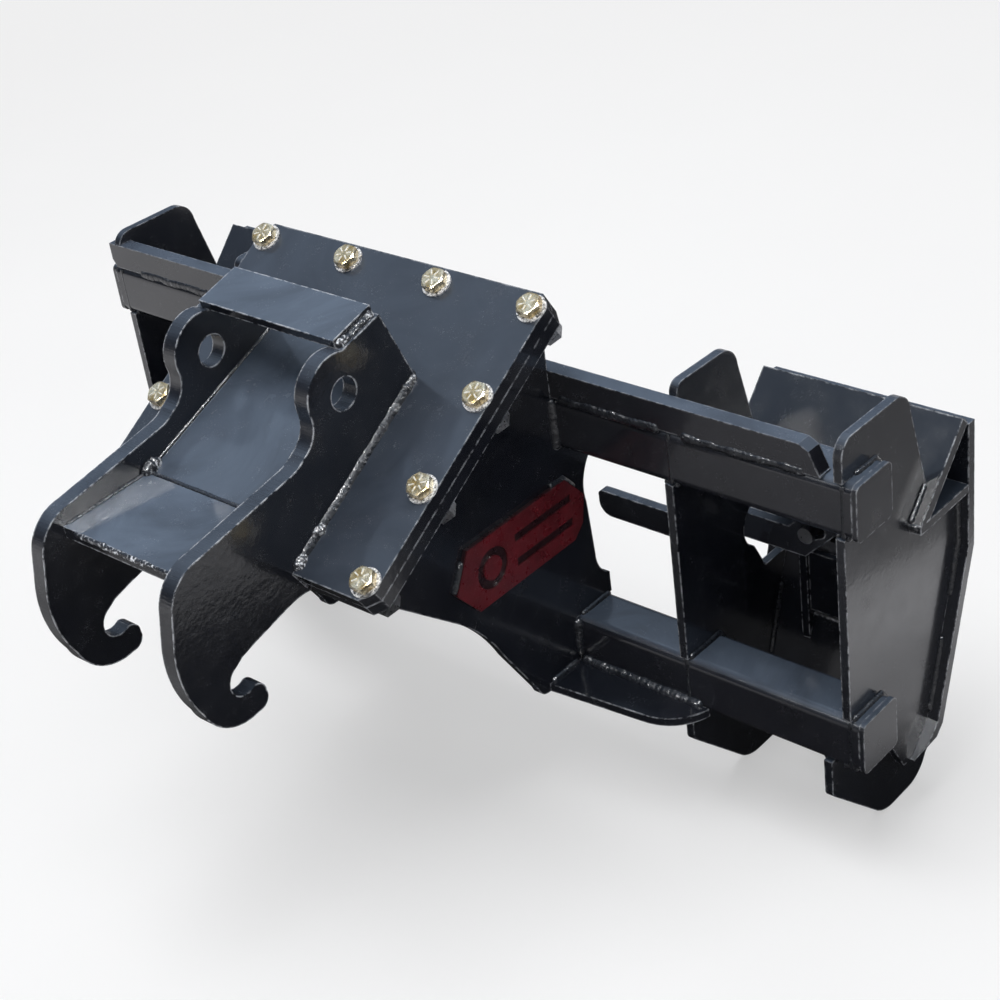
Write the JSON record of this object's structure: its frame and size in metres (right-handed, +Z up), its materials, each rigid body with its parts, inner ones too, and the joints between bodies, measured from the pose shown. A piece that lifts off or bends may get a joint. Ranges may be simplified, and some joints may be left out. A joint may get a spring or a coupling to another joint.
{
  "type": "quick coupler",
  "caption": "Welded loader quick coupler: square-tube frame with pin ears and hooks, bolted flange, wedge-topped mating plates, and two lever-driven latch pins.",
  "frame": {"origin": "centre of the ear pin bores, midway between the two ears", "axes": "+X along the pin bores and the frame tubes, +Y out of the mating faces towards the attachment, +Z up the mating plates"},
  "size_m": [1.1, 0.713, 0.6495],
  "materials": {
    "black_paint": "gloss",
    "badge_red": "gloss",
    "bolt_gold": "yellow zinc",
    "zinc": "clear zinc",
    "washer_pale": "scuffed zinc",
    "bare_steel": "machined"
  },
  "bodies": {
    "coupler_frame": {"badge_plate": "badge_red", "bottom_tube": "black_paint", "bracket_floor_plate": "black_paint", "bracket_front_shelf": "black_paint", "bracket_top_plate": "black_paint", "ear_plate_left": "black_paint", "ear_plate_right": "black_paint", "flange_bolts": "bolt_gold", "flange_nuts": "zinc", "flange_washers": "washer_pale", "foot_plate_left": "black_paint", "foot_plate_right": "black_paint", "guide_front_plate_left": "black_paint", "guide_front_plate_right": "black_paint", "guide_keeper_bar_left": "black_paint", "guide_keeper_bar_right": "black_paint", "guide_rib_inner_left": "black_paint", "guide_rib_inner_right": "black_paint", "guide_rib_outer_left": "black_paint", "guide_rib_outer_right": "black_paint", "gusset_left": "black_paint", "gusset_right": "black_paint", "inner_side_plate_left": "black_paint", "inner_side_plate_right": "black_paint", "lower_flange_plate": "black_paint", "mount_plate_left": "black_paint", "mount_plate_right": "black_paint", "outer_side_plate_left": "black_paint", "outer_side_plate_right": "black_paint", "pivot_bolt_left": "zinc", "pivot_bolt_right": "zinc", "pivot_bracket_left": "black_paint", "pivot_bracket_right": "black_paint", "pivot_nut_left": "zinc", "pivot_nut_right": "zinc", "pivot_washers_left": "washer_pale", "pivot_washers_right": "washer_pale", "shelf_plate_left": "black_paint", "shelf_plate_right": "black_paint", "top_lip_bar": "black_paint", "top_tube": "black_paint", "tube_end_caps": "black_paint", "upper_flange_plate": "black_paint", "wedge_plate_left": "black_paint", "wedge_plate_right": "black_paint", "wing_plate_left": "black_paint", "wing_plate_right": "black_paint"},
    "lever_right": {"latch_lever_right": "black_paint"},
    "lever_left": {"latch_lever_left": "black_paint"},
    "pin_right": {"latch_pin_right": "bare_steel", "cross_pin_right": "bare_steel"},
    "pin_left": {"latch_pin_left": "bare_steel", "cross_pin_left": "bare_steel"}
  },
  "joints": [
    {"name": "lever_right_hinge", "type": "hinge", "parent": "coupler_frame", "child": "lever_right", "pos_m": [0.434, 0.37482, -0.23708], "axis": [0, 1, 0], "range_deg": [0, 25]},
    {"name": "lever_left_hinge", "type": "hinge", "parent": "coupler_frame", "child": "lever_left", "pos_m": [-0.434, 0.37482, -0.23708], "axis": [0, -1, 0], "range_deg": [0, 25]},
    {"name": "pin_right_slide", "type": "slide", "parent": "coupler_frame", "child": "pin_right", "axis": [0, 0, 1], "range_m": [0, 0.0217]},
    {"name": "pin_left_slide", "type": "slide", "parent": "coupler_frame", "child": "pin_left", "axis": [0, 0, 1], "range_m": [0, 0.0217]}
  ],
  "couplings": [
    {"joint": "pin_right_slide", "follows": "lever_right_hinge", "m_per_rad": 0.0497},
    {"joint": "pin_left_slide", "follows": "lever_left_hinge", "m_per_rad": 0.0497}
  ]
}
